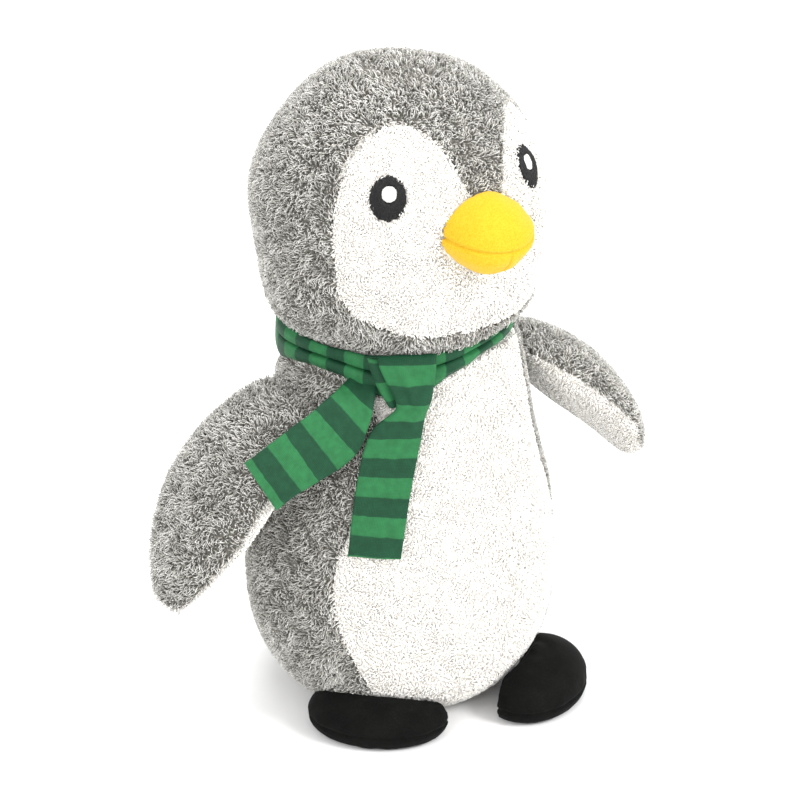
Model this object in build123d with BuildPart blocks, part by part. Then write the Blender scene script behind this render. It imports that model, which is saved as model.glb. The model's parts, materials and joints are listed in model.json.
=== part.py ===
from build123d import *
from math import cos, pi, radians, sin, sqrt
import os

# A plush penguin that sits upright on a flat, weighted base, with a striped scarf tied round its neck.
# It faces -Y, its left side is +X, and the origin is the middle of the base on the surface it stands on.

# ---------------------------------------------------------------- driving dimensions, mm
pile_skin = 3.0           # looped pile fabric: backing plus half of the pile
suede_skin = 1.5          # smooth fabric of the feet
felt_skin = 1.5           # fabric of the beak
lining_skin = 1.0         # cotton bag round the pellets
running_gap = 0.4         # kept between faces that move past each other

head_radius = 71.5
head_z = 264.0
neck_opening_radius = 30.0
face_middle_x = 4.0       # the face looks slightly to the penguin's left
face_roll = 5.0           # and its crown leans to that side, degrees
crown_half_width = 17.0   # grey gusset between the two white lobes of the face
chin_half_width = 48.0
chin_drop = 41.0          # from the middle of the head down to the top of the chin gusset

base_radius = 38.0
belly_radius = 77.5       # widest place of the torso
belly_z = 68.0
shoulder_radius = 65.0
shoulder_z = 150.0
belly_middle_x = 3.0
belly_low = (41.0, 12.0)  # half outline of the white front, seen from ahead: sideways and up
belly_mid = (67.0, 92.0)
belly_high = (45.5, 180.0)
bag_radius = 46.0         # cotton bag of pellets
bag_half_height = 15.0
collar_radius = 53.0      # neck squeezed by the scarf
collar_bottom_z = 180.0
collar_top_z = 190.0
neck_roll_radius = 60.5   # the neck bulges out over the scarf
neck_roll_z = 212.0
neck_top_z = 224.0

cloth = 1.6               # scarf: doubled and hemmed
cloth_gap = 1.0           # between a hanging tail and the pile under it
scarf_half_width = 13.0
wrap_radius = 59.0        # outside of the turn round the neck
wrap_bottom_z = 181.0
wrap_top_z = 205.0
knot_azimuth = -30.0      # degrees from straight ahead; the knot sits towards the penguin's right
knot_width = 26.0
knot_depth = 7.0          # in front of the wrap
knot_bottom_z = 180.5
knot_top_z = 206.0
front_tail_azimuth = -36.0
front_tail_top_z = 179.0
front_tail_bottom_z = 107.0
front_tail_drift = 15.0   # sideways, from the knot down to the hem
side_tail_root = (-48.0, -47.5, 184.0)
side_tail_heading = (-0.996, 0.085, 0.0)
side_tail_facing = (0.085, 0.996, 0.0)
side_tail_corners = ((-3.9, -7), (5, -19), (50.5, -46), (68, -18), (17, 9), (3.9, 7))   # out and up

flipper_root = (61.8, -2.0, 174.0)   # seam on the torso's left side, mirrored for the right
flipper_length = 121.0
flipper_bow = 9.0
flipper_half_width = 36.0
flipper_half_thickness = 14.0
flipper_edge = 1.5        # half thickness left at the root seam and the tip
flipper_widest = 0.42     # how far along it is widest
flipper_root_taper = 0.34
flipper_angles = {"right": 37.5, "left": 43.7}   # degrees out from hanging straight down
flipper_sweeps = {"right": 0.0, "left": 6.0}     # degrees towards the back

foot_half_width = 36.5
foot_half_length = 27.0
foot_crown = 21.0         # height of the foot's dome above its seam
foot_seam_z = 8.0
foot_sole_turn = 0.12     # how much smaller the outline is on the ground than at the seam
foot_reaches = {"right": 57.0, "left": 72.0}     # middle of the base to the middle of a foot
foot_tucks = {"right": 55.0, "left": 62.0}       # middle of the base to where a foot starts
foot_splays = {"right": 43.0, "left": 39.0}      # degrees out from straight ahead

eye_azimuths = {"right": 37.0, "left": 35.0}   # degrees from straight ahead
eye_latitude = 22.0
eye_half_width = 8.7
eye_half_height = 10.7
glint_radius = 3.7
thread_height = 0.8       # satin stitches stand this far out of the fabric

beak_centre = (3.0, -70.0, 270.5)
beak_radii = (24.0, 25.0, 20.0)
mouth_z = 269.0

label_length = 12.0       # blank tab in the seam at the back
label_height = 16.0
label_thickness = 0.8
label_z = 32.0

far = 200.0               # larger than any piece, for cutting

sides = {"left": 1, "right": -1}
head_centre = (0, 0, head_z)

os.makedirs("parts", exist_ok=True)


def save(piece, label):
    """Names a finished piece and writes it."""
    piece.part.label = label
    export_step(piece.part, f"parts/{label}.step")


def front_direction(azimuth, latitude=0.0):
    """Unit vector at an azimuth from straight ahead and a latitude above the horizon."""
    level = cos(radians(latitude))
    return Vector(level * sin(radians(azimuth)), -level * cos(radians(azimuth)), sin(radians(latitude)))


def ball(radius):
    """Solid ball about the middle of the head."""
    with BuildPart(Plane(origin=head_centre)) as body:
        Sphere(radius)
    return body.part


def ellipsoid(plane, radii):
    """Solid ellipsoid about a plane's origin, with its radii along the plane's axes."""
    with BuildPart() as centred:
        Sphere(1)
        scale(by=radii)
    with BuildPart(plane) as body:
        add(centred.part)
    return body.part


def torso_body(growth):
    """Egg-shaped torso grown by a distance from its outer face, without its squeezed neck."""
    with BuildPart() as body:
        with BuildSketch(Plane.XZ):
            with BuildLine():
                foot_point = (base_radius, -growth)
                top_point = (collar_radius + 4 + growth, collar_bottom_z + growth)
                Line((0, -growth), foot_point)
                Spline(
                    foot_point,
                    (belly_radius + growth, belly_z),
                    (shoulder_radius + growth, shoulder_z),
                    top_point,
                    tangents=[(1, 0.35), (-0.34, 1)],
                )
                Line(top_point, (0, collar_bottom_z + growth))
                Line((0, collar_bottom_z + growth), (0, -growth))
            make_face()
        revolve(axis=Axis.Z)
    return body.part


# ---------------------------------------------------------------- head skin
roll = radians(face_roll)
face_across = Vector(cos(roll), 0, -sin(roll))
face_plane = Plane(origin=(face_middle_x, 0, head_z), x_dir=face_across, z_dir=(0, -1, 0))

with BuildSketch() as face_outline:
    with BuildLine():
        brow = Spline(
            (0, 10),
            (9, 25),
            (crown_half_width, 43),
            (29.8, 53.3),
            (48.6, 44.4),
            (62.5, 21.2),
            (65.2, 4.5),
            (63, -14.3),
            (50.5, -38.5),
            (26, -47.8),
            (0, -48),
            tangents=[(0.7, 1), (-1, 0)],
        )
        mirror(brow, about=Plane.YZ)
    make_face()

with BuildPart() as face_cutter:
    with BuildSketch(face_plane):
        add(face_outline.sketch)
    extrude(amount=far)

with BuildPart() as chin_cutter:
    with BuildSketch(Plane.XZ):
        with Locations((0, head_z - chin_drop)):
            Rectangle(2 * chin_half_width, far, align=(Align.CENTER, Align.MAX))
    extrude(amount=far)

with BuildPart() as head_shell:
    add(ball(head_radius))
    add(ball(head_radius - pile_skin), mode=Mode.SUBTRACT)
    opening_drop = sqrt(head_radius**2 - neck_opening_radius**2)
    split(bisect_by=Plane.XY.offset(head_z - opening_drop), keep=Keep.TOP)

with BuildPart() as face_panel:
    add(head_shell.part)
    add(face_cutter.part, mode=Mode.INTERSECT)
save(face_panel, "face_panel")

with BuildPart() as chin_gusset:
    add(head_shell.part)
    add(chin_cutter.part, mode=Mode.INTERSECT)
    add(face_cutter.part, mode=Mode.SUBTRACT)
save(chin_gusset, "chin_gusset")

with BuildPart() as head_grey:
    add(head_shell.part)
    add(face_cutter.part, mode=Mode.SUBTRACT)
    add(chin_cutter.part, mode=Mode.SUBTRACT)

with BuildPart() as crown_gusset:
    add(head_grey.part)
    with BuildSketch(face_plane):
        Rectangle(2 * crown_half_width, 2 * far)
    extrude(amount=far, both=True, mode=Mode.INTERSECT)
save(crown_gusset, "crown_gusset")

for side_name, side in sides.items():
    with BuildPart() as head_side:
        add(head_grey.part)
        seam_point = face_plane.origin + face_across * side * crown_half_width
        split(bisect_by=Plane(origin=seam_point, z_dir=face_across * side), keep=Keep.TOP)
    save(head_side, f"head_side_{side_name}")

with BuildPart() as head_stuffing:
    add(ball(head_radius - pile_skin))
save(head_stuffing, "head_stuffing")


# ---------------------------------------------------------------- eyes: satin stitch on the face
for side_name, side in sides.items():
    gaze = front_direction(side * eye_azimuths[side_name], eye_latitude)
    eye_plane = Plane(origin=head_centre, x_dir=(gaze.Y, -gaze.X, 0), z_dir=gaze)

    with BuildPart() as eye:
        with BuildSketch(eye_plane):
            Ellipse(eye_half_width, eye_half_height)
            Circle(glint_radius, mode=Mode.SUBTRACT)
        extrude(amount=far)
        add(ball(head_radius + thread_height), mode=Mode.INTERSECT)
        add(ball(head_radius), mode=Mode.SUBTRACT)
    save(eye, f"eye_{side_name}")

    with BuildPart() as glint:
        with BuildSketch(eye_plane):
            Circle(glint_radius)
        extrude(amount=far)
        add(ball(head_radius + thread_height), mode=Mode.INTERSECT)
        add(ball(head_radius), mode=Mode.SUBTRACT)
    save(glint, f"eye_glint_{side_name}")


# ---------------------------------------------------------------- beak: upper piece and two lower halves
def beak_body(inset):
    """Beak from the face outwards, drawn a distance inside its outer fabric."""
    with BuildPart() as body:
        add(ellipsoid(Plane(origin=beak_centre), tuple(radius - inset for radius in beak_radii)))
        add(ball(head_radius), mode=Mode.SUBTRACT)
    return body.part


with BuildPart() as beak_shell:
    add(beak_body(0))
    add(beak_body(felt_skin), mode=Mode.SUBTRACT)

with BuildPart() as beak_upper:
    add(beak_shell.part)
    split(bisect_by=Plane.XY.offset(mouth_z), keep=Keep.TOP)
save(beak_upper, "beak_upper")

for side_name, side in sides.items():
    with BuildPart() as beak_lower:
        add(beak_shell.part)
        split(bisect_by=Plane.XY.offset(mouth_z), keep=Keep.BOTTOM)
        split(bisect_by=Plane.YZ.offset(beak_centre[0]), keep=Keep.TOP if side > 0 else Keep.BOTTOM)
    save(beak_lower, f"beak_lower_{side_name}")

with BuildPart() as beak_stuffing:
    add(beak_body(felt_skin))
save(beak_stuffing, "beak_stuffing")


# ---------------------------------------------------------------- neck: a soft roll that cups the ball of the head
with BuildPart() as neck_roll:
    with BuildSketch(Plane.XZ):
        with BuildLine():
            inner_radius = collar_radius - running_gap
            floor_z = collar_top_z + running_gap
            scarf_z = wrap_top_z + running_gap
            Polyline((0, neck_top_z), (0, floor_z), (inner_radius, floor_z), (inner_radius, scarf_z))
            ThreePointArc((inner_radius, scarf_z), (neck_roll_radius, neck_roll_z), (collar_radius, neck_top_z))
            Line((collar_radius, neck_top_z), (0, neck_top_z))
        make_face()
    revolve(axis=Axis.Z)
    add(ball(head_radius + running_gap), mode=Mode.SUBTRACT)

with BuildPart() as neck_core:
    with BuildSketch(Plane.XY):
        Circle(collar_radius - running_gap - pile_skin)
    extrude(amount=2 * far)

with BuildPart() as neck_band:
    add(neck_roll.part)
    add(neck_core.part, mode=Mode.SUBTRACT)
save(neck_band, "neck_band")

with BuildPart() as neck_stuffing:
    add(neck_roll.part)
    add(neck_core.part, mode=Mode.INTERSECT)
save(neck_stuffing, "neck_stuffing")


# ---------------------------------------------------------------- torso skin, filling and ballast
with BuildSketch(Plane.XZ) as belly_outline:
    with BuildLine():
        flank = Spline(
            (0, -10),
            belly_low,
            belly_mid,
            belly_high,
            (0, 215),
            tangents=[(1, 0), (-1, 0)],
        )
        mirror(flank, about=Plane.YZ)
    make_face()

with BuildPart() as belly_cutter:
    with BuildSketch(Plane.XZ):
        with Locations((belly_middle_x, 0)):
            add(belly_outline.sketch)
    extrude(amount=far)

with BuildPart() as base_cutter:
    with BuildSketch(Plane.XY):
        Circle(base_radius)
    extrude(amount=pile_skin)

with BuildPart() as torso_filled:
    add(torso_body(0))
    with BuildSketch(Plane.XY.offset(collar_bottom_z)):
        Circle(collar_radius)
    extrude(amount=collar_top_z - collar_bottom_z)

with BuildPart() as torso_core:
    add(torso_body(-pile_skin))
    with BuildSketch(Plane.XY.offset(collar_bottom_z - 2 * pile_skin)):
        Circle(collar_radius - pile_skin)
    extrude(amount=collar_top_z - collar_bottom_z + 2 * pile_skin)

with BuildPart() as torso_skin:
    add(torso_filled.part)
    add(torso_core.part, mode=Mode.SUBTRACT)
    add(base_cutter.part, mode=Mode.SUBTRACT)

with BuildPart() as belly_panel:
    add(torso_skin.part)
    add(belly_cutter.part, mode=Mode.INTERSECT)
save(belly_panel, "belly_panel")

for side_name, side in sides.items():
    with BuildPart() as back_panel:
        add(torso_skin.part)
        add(belly_cutter.part, mode=Mode.SUBTRACT)
        split(bisect_by=Plane.YZ, keep=Keep.TOP if side > 0 else Keep.BOTTOM)
    save(back_panel, f"back_panel_{side_name}")

with BuildPart() as base_panel:
    add(base_cutter.part)
save(base_panel, "base_panel")

bag_plane = Plane.XY.offset(pile_skin + bag_half_height + running_gap)


def bag_body(inset):
    """Flattened cotton bag resting on the base, drawn a distance inside its cloth."""
    return ellipsoid(bag_plane, (bag_radius - inset, bag_radius - inset, bag_half_height - inset))


with BuildPart() as pellet_bag:
    add(bag_body(0))
    add(bag_body(lining_skin), mode=Mode.SUBTRACT)
save(pellet_bag, "pellet_bag")

with BuildPart() as pellets:
    add(bag_body(lining_skin))
save(pellets, "pellets")

with BuildPart() as torso_stuffing:
    add(torso_core.part)
    add(bag_body(0), mode=Mode.SUBTRACT)
save(torso_stuffing, "torso_stuffing")

with BuildPart() as care_label:
    with BuildSketch(Plane.YZ.offset(-label_thickness / 2)):
        with Locations((belly_radius + label_length / 2, label_z)):
            Rectangle(2 * label_length, label_height)
    extrude(amount=label_thickness)
    add(torso_filled.part, mode=Mode.SUBTRACT)
    split(bisect_by=Plane.XZ.offset(-belly_radius - label_length), keep=Keep.TOP)
save(care_label, "care_label")


# ---------------------------------------------------------------- flippers: grey outside, white inside
def flipper_width(t):
    """Half width at a fraction t of the way from the root seam to the tip."""
    if t > flipper_widest:
        return flipper_half_width * sqrt(1 - ((t - flipper_widest) / (1 - flipper_widest)) ** 2)
    return flipper_half_width * (1 - flipper_root_taper * ((flipper_widest - t) / flipper_widest) ** 2)


def flipper_thickness(t):
    """Half thickness at a fraction t of the way from the root seam to the tip."""
    return flipper_edge + flipper_half_thickness * max(0.0, sin(pi * t**0.75)) ** 0.8


def flipper_body(root, along, outward, stations, inset):
    """Bowed paddle lofted through elliptical stations, drawn a distance inside its outer face."""
    with BuildPart() as body:
        for t in stations:
            centre = root + along * flipper_length * t + outward * 4 * flipper_bow * t * (1 - t)
            tangent = along * flipper_length + outward * 4 * flipper_bow * (1 - 2 * t)
            wide = flipper_width(t) - inset
            thick = flipper_thickness(t) - inset
            with BuildSketch(Plane(origin=centre, x_dir=(0, 1, 0), z_dir=tangent)):
                with BuildLine():
                    edge_half = EllipticalCenterArc((0, 0), wide, thick, start_angle=-90, arc_size=180)
                    mirror(edge_half, about=Plane.YZ)
                make_face()
        loft()
    return body.part


for side_name, side in sides.items():
    angle = radians(flipper_angles[side_name])
    root = Vector(side * flipper_root[0], flipper_root[1], flipper_root[2])
    sweep = radians(flipper_sweeps[side_name])
    along = Vector(side * sin(angle) * cos(sweep), sin(sweep), -cos(angle) * cos(sweep))
    outward = Vector(side * cos(angle), 0, sin(angle))
    tip = root + along * flipper_length
    skin_stations = (0, 0.06, 0.16, 0.3, 0.45, 0.6, 0.75, 0.87, 0.95, 0.985)
    core_stations = (0.12, 0.2, 0.3, 0.45, 0.6, 0.75, 0.87, 0.93)

    with BuildPart() as flipper_core:
        add(flipper_body(root, along, outward, core_stations, pile_skin))
    save(flipper_core, f"flipper_{side_name}_stuffing")

    bow_point = root + along * flipper_length / 2 + outward * 2 * flipper_bow
    heel = root - along * 10
    toe = tip + along * 10
    with BuildPart() as outer_half:
        with BuildSketch(Plane.XZ):
            with BuildLine():
                Line((heel.X, heel.Z), (root.X, root.Z))
                Bezier((root.X, root.Z), (bow_point.X, bow_point.Z), (tip.X, tip.Z))
                Line((tip.X, tip.Z), (toe.X, toe.Z))
                Polyline(
                    (toe.X, toe.Z),
                    ((toe + outward * 70).X, (toe + outward * 70).Z),
                    ((heel + outward * 70).X, (heel + outward * 70).Z),
                    (heel.X, heel.Z),
                )
            make_face()
        extrude(amount=far, both=True)

    with BuildPart() as flipper_shell:
        add(flipper_body(root, along, outward, skin_stations, 0))
        add(flipper_core.part, mode=Mode.SUBTRACT)

    with BuildPart() as flipper_outer:
        add(flipper_shell.part)
        add(outer_half.part, mode=Mode.INTERSECT)
    save(flipper_outer, f"flipper_{side_name}_outer")

    with BuildPart() as flipper_inner:
        add(flipper_shell.part)
        add(outer_half.part, mode=Mode.SUBTRACT)
    save(flipper_inner, f"flipper_{side_name}_inner")


# ---------------------------------------------------------------- feet: domed top and flat sole, tucked under the belly
def foot_scale(z):
    """How much of the foot's full outline is left at a height, with the sole turned in under the seam."""
    if z < foot_seam_z:
        return 1 - foot_sole_turn * ((foot_seam_z - z) / foot_seam_z) ** 2
    return sqrt(1 - ((z - foot_seam_z) / foot_crown) ** 2)


def foot_body(reach, tuck, heading, inset):
    """Padded foot pointing along a heading, drawn a distance inside its outer face."""
    top_z = foot_seam_z + foot_crown - 0.1
    with BuildPart() as body:
        for share in (0, 0.14, 0.28, 0.5, 0.7, 0.85, 0.95, 1):
            z = share * top_z
            size = foot_scale(z)
            height = inset + share * (top_z - 2 * inset)
            across = Vector(-heading.Y, heading.X, 0)
            with BuildSketch(Plane(origin=heading * reach + Vector(0, 0, height), x_dir=across)):
                Ellipse((foot_half_width - inset) * size, (foot_half_length - inset) * size)
        loft()
        add(torso_body(running_gap + inset), mode=Mode.SUBTRACT)
        split(bisect_by=Plane(origin=heading * (tuck + inset), z_dir=heading), keep=Keep.TOP)
    return body.part


for side_name, side in sides.items():
    heading = front_direction(side * foot_splays[side_name])
    reach = foot_reaches[side_name]
    tuck = foot_tucks[side_name]

    with BuildPart() as foot_core:
        add(foot_body(reach, tuck, heading, suede_skin))
    save(foot_core, f"foot_{side_name}_stuffing")

    with BuildPart() as foot_shell:
        add(foot_body(reach, tuck, heading, 0))
        add(foot_core.part, mode=Mode.SUBTRACT)

    with BuildPart() as foot_top:
        add(foot_shell.part)
        split(bisect_by=Plane.XY.offset(foot_seam_z), keep=Keep.TOP)
    save(foot_top, f"foot_{side_name}_top")

    with BuildPart() as foot_sole:
        add(foot_shell.part)
        split(bisect_by=Plane.XY.offset(foot_seam_z), keep=Keep.BOTTOM)
    save(foot_sole, f"foot_{side_name}_sole")


# ---------------------------------------------------------------- scarf: turn round the neck, knot and two tails
with BuildPart() as scarf_wrap:
    with BuildSketch(Plane.XZ):
        with Locations(((collar_radius + wrap_radius) / 2, (wrap_bottom_z + wrap_top_z) / 2)):
            RectangleRounded(wrap_radius - collar_radius, wrap_top_z - wrap_bottom_z, 2.5)
    revolve(axis=Axis.Z)
save(scarf_wrap, "scarf_wrap")

knot_facing = front_direction(knot_azimuth)
knot_across = Vector(-knot_facing.Y, knot_facing.X, 0)
with BuildPart() as scarf_knot:
    with BuildSketch(Plane(origin=knot_facing * collar_radius, x_dir=knot_across, z_dir=knot_facing)):
        with Locations((0, (knot_bottom_z + knot_top_z) / 2)):
            RectangleRounded(knot_width, knot_top_z - knot_bottom_z, 6)
    extrude(amount=wrap_radius + knot_depth - collar_radius)
    fillet(faces().sort_by(Axis(origin=(0, 0, 0), direction=knot_facing))[-1].edges(), radius=3)
    add(scarf_wrap.part, mode=Mode.SUBTRACT)
    with BuildSketch(Plane.XY):
        Circle(wrap_radius)
    extrude(amount=far + head_z, mode=Mode.SUBTRACT)
save(scarf_knot, "scarf_knot")

tail_facing = front_direction(front_tail_azimuth)
tail_across = Vector(-tail_facing.Y, tail_facing.X, 0)
with BuildPart() as scarf_tail_front:
    add(torso_body(cloth_gap + cloth))
    add(torso_body(cloth_gap), mode=Mode.SUBTRACT)
    with BuildSketch(Plane(origin=(0, 0, 0), x_dir=tail_across, z_dir=tail_facing)):
        with BuildLine():
            gathered = scarf_half_width - 3
            swing = front_tail_drift / 2
            Polyline(
                (swing - gathered, front_tail_top_z),
                (swing + gathered, front_tail_top_z),
                (-swing + scarf_half_width, front_tail_bottom_z),
                (-swing - scarf_half_width, front_tail_bottom_z),
                close=True,
            )
        make_face()
    extrude(amount=far, mode=Mode.INTERSECT)
save(scarf_tail_front, "scarf_tail_front")

with BuildPart() as scarf_tail_side:
    with BuildSketch(Plane(origin=side_tail_root, x_dir=side_tail_heading, z_dir=side_tail_facing)):
        with BuildLine():
            Polyline(*side_tail_corners, close=True)
        make_face()
    extrude(amount=cloth)
save(scarf_tail_side, "scarf_tail_side")
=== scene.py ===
"""Plush penguin with a striped scarf: pile, suede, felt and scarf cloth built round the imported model."""
import json
import math

import bpy
import numpy as np
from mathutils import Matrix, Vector
from mathutils.bvhtree import BVHTree


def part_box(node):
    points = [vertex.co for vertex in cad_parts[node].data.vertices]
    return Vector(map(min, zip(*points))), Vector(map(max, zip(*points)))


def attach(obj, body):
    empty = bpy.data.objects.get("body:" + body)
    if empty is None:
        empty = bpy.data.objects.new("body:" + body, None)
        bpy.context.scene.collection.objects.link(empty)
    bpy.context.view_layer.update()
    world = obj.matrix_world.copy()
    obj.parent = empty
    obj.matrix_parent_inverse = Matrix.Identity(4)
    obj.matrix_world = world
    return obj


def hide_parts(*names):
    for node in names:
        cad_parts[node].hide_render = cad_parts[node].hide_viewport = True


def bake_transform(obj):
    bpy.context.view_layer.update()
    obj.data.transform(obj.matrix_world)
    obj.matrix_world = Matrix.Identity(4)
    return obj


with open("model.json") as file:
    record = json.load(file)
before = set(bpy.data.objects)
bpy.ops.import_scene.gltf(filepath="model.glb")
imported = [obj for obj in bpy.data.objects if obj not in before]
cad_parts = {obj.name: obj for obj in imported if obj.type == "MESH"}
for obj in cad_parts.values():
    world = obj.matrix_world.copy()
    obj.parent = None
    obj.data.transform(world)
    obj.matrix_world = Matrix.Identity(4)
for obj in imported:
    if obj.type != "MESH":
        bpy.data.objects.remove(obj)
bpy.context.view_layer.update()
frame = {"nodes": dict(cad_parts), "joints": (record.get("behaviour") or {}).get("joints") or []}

MM = 0.001
STRIPES = 364.4 * MM / 18      # one light and one dark stripe of the scarf
nodes = frame["nodes"]
joints = {joint["name"]: joint for joint in frame["joints"]}
head_centre = np.array(joints["head_nod"]["pos_m"])
sides = {"left": 1, "right": -1}
HEAD_RADIUS = 71.5 * MM


# ------------------------------------------------------------------------------- mesh helpers
def unit(vectors):
    """Vectors scaled to length 1 along their last axis."""
    length = np.linalg.norm(vectors, axis=-1, keepdims=True)
    return vectors / np.maximum(length, 1e-12)


def add_object(name, data):
    """Object for a mesh, a light or a camera, linked into the scene."""
    obj = bpy.data.objects.new(name, data)
    bpy.context.scene.collection.objects.link(obj)
    return obj


def mesh_object(name, points, faces, smooth=True):
    """Object from an array of points and a list of faces."""
    mesh = bpy.data.meshes.new(name)
    mesh.from_pydata(np.asarray(points).tolist(), [], [list(map(int, face)) for face in faces])
    mesh.update()
    if smooth:
        mesh.shade_smooth()
    return add_object(name, mesh)


def triangles_of(node):
    """Points and triangles of a CAD node."""
    mesh = nodes[node].data
    mesh.calc_loop_triangles()
    points = np.empty(len(mesh.vertices) * 3, np.float32)
    mesh.vertices.foreach_get("co", points)
    triangles = np.empty(len(mesh.loop_triangles) * 3, np.int32)
    mesh.loop_triangles.foreach_get("vertices", triangles)
    return points.reshape(-1, 3).astype(float), triangles.reshape(-1, 3)


def weld(points, triangles):
    """Merges points closer than a thousandth of a millimetre, and drops the triangles that vanish."""
    keys = np.round(points * 1e6).astype(np.int64)
    _, first, index = np.unique(keys, axis=0, return_index=True, return_inverse=True)
    triangles = index.reshape(-1)[triangles]
    whole = (
        (triangles[:, 0] != triangles[:, 1])
        & (triangles[:, 1] != triangles[:, 2])
        & (triangles[:, 2] != triangles[:, 0])
    )
    return points[first], triangles, whole


def face_vectors(points, triangles):
    """Centre and area-weighted normal of every triangle."""
    a, b, c = (points[triangles[:, k]] for k in range(3))
    return (a + b + c) / 3, np.cross(b - a, c - a) / 2


def point_normals(points, triangles):
    """Unit normals at the points, averaged over the triangles given."""
    _, normal = face_vectors(points, triangles)
    total = np.zeros_like(points)
    for corner in range(3):
        np.add.at(total, triangles[:, corner], normal)
    return unit(total)


def waves(points, size, seed, count=7):
    """Smooth noise from about -1 to 1, with features of the given size in metres."""
    rng = np.random.default_rng(seed)
    direction = unit(rng.normal(size=(count, 3))) * (2 * math.pi / size)
    phase = rng.uniform(0, 2 * math.pi, count)
    return np.sin(points @ direction.T + phase).sum(axis=1) / math.sqrt(count)


def smoothstep(low, high, value):
    t = np.clip((value - low) / (high - low), 0, 1)
    return t * t * (3 - 2 * t)


# ------------------------------------------------------------------------------- materials
def linear(red, green, blue):
    """Scene colour of an 8-bit screen colour."""
    values = []
    for level in (red, green, blue):
        level /= 255
        values.append(level / 12.92 if level <= 0.04045 else ((level + 0.055) / 1.055) ** 2.4)
    return (*values, 1.0)


class Look:
    """A material and short names for wiring its nodes."""

    def __init__(self, name, roughness, sheen=0.0, specular=0.3, sheen_roughness=0.5):
        self.material = bpy.data.materials.new(name)
        self.material.use_nodes = True
        self.tree = self.material.node_tree
        self.shader = self.tree.nodes["Principled BSDF"]
        self.shader.inputs["Roughness"].default_value = roughness
        self.shader.inputs["Sheen Weight"].default_value = sheen
        self.shader.inputs["Sheen Roughness"].default_value = sheen_roughness
        self.shader.inputs["Specular IOR Level"].default_value = specular

    def node(self, kind, **values):
        made = self.tree.nodes.new(kind)
        for key, value in values.items():
            setattr(made, key, value)
        return made

    def join(self, source, target):
        self.tree.links.new(source, target)

    def noise(self, scale, detail=3.0):
        made = self.node("ShaderNodeTexNoise")
        made.inputs["Scale"].default_value = scale
        made.inputs["Detail"].default_value = detail
        self.join(self.place(), made.inputs["Vector"])
        return made.outputs["Fac"]

    def place(self):
        return self.node("ShaderNodeTexCoord").outputs["Object"]

    def ramp(self, factor, stops):
        made = self.node("ShaderNodeValToRGB")
        while len(made.color_ramp.elements) < len(stops):
            made.color_ramp.elements.new(0.5)
        for element, (position, colour) in zip(made.color_ramp.elements, stops):
            element.position = position
            element.color = colour
        self.join(factor, made.inputs["Fac"])
        return made.outputs["Color"]

    def math(self, operation, *values):
        made = self.node("ShaderNodeMath", operation=operation)
        for socket, value in zip(made.inputs, values):
            if isinstance(value, (int, float)):
                socket.default_value = value
            else:
                self.join(value, socket)
        return made.outputs[0]

    def mix(self, factor, first, second, blend="MIX"):
        made = self.node("ShaderNodeMixRGB", blend_type=blend)
        for socket, value in zip(made.inputs, (factor, first, second)):
            if isinstance(value, (int, float, tuple)):
                socket.default_value = value
            else:
                self.join(value, socket)
        return made.outputs[0]

    def colour(self, source):
        self.join(source, self.shader.inputs["Base Color"])

    def bump(self, height, strength, distance):
        made = self.node("ShaderNodeBump")
        made.inputs["Strength"].default_value = strength
        made.inputs["Distance"].default_value = distance
        self.join(height, made.inputs["Height"])
        self.join(made.outputs["Normal"], self.shader.inputs["Normal"])


def strand_looks(name, shades, sheen):
    """One plain material per shade of a pile, from the roots out to the tips; the darker root shades are
    painted shade down between the strands.
    """
    made = []
    for number, shade in enumerate(shades):
        look = Look(f"{name}_{number}", 0.75, sheen, 0.25)
        look.shader.inputs["Base Color"].default_value = linear(*shade)
        made.append(look.material)
    return made


def backing_look(name, dark, light):
    """Knitted ground cloth between the loops of a pile."""
    look = Look(name, 0.9, 0.2, 0.2)
    look.colour(look.ramp(look.noise(900, 4), [(0.35, linear(*dark)), (0.7, linear(*light))]))
    look.bump(look.noise(1400, 2), 0.6, 0.0006)
    return look.material


def felt_look():
    look = Look("beak_felt", 0.9, 0.12, 0.15, 0.4)
    nap = look.noise(1500, 5)
    patches = look.noise(60, 3)
    base = look.ramp(patches, [(0.3, linear(206, 162, 26)), (0.7, linear(212, 172, 38))])
    fibres = look.ramp(nap, [(0.35, linear(188, 140, 14)), (0.62, linear(218, 184, 56))])
    look.colour(look.mix(0.45, base, fibres))
    look.bump(nap, 0.35, 0.0004)
    return look.material


def suede_look():
    look = Look("black_suede", 0.9, 0.03, 0.08, 0.35)
    nap = look.noise(1800, 4)
    patches = look.noise(90, 3)
    base = look.ramp(patches, [(0.35, linear(8, 9, 8)), (0.7, linear(19, 20, 18))])
    fibres = look.ramp(nap, [(0.4, linear(6, 6, 6)), (0.75, linear(30, 32, 29))])
    look.colour(look.mix(0.4, base, fibres))
    look.bump(nap, 0.3, 0.0003)
    return look.material


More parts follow.
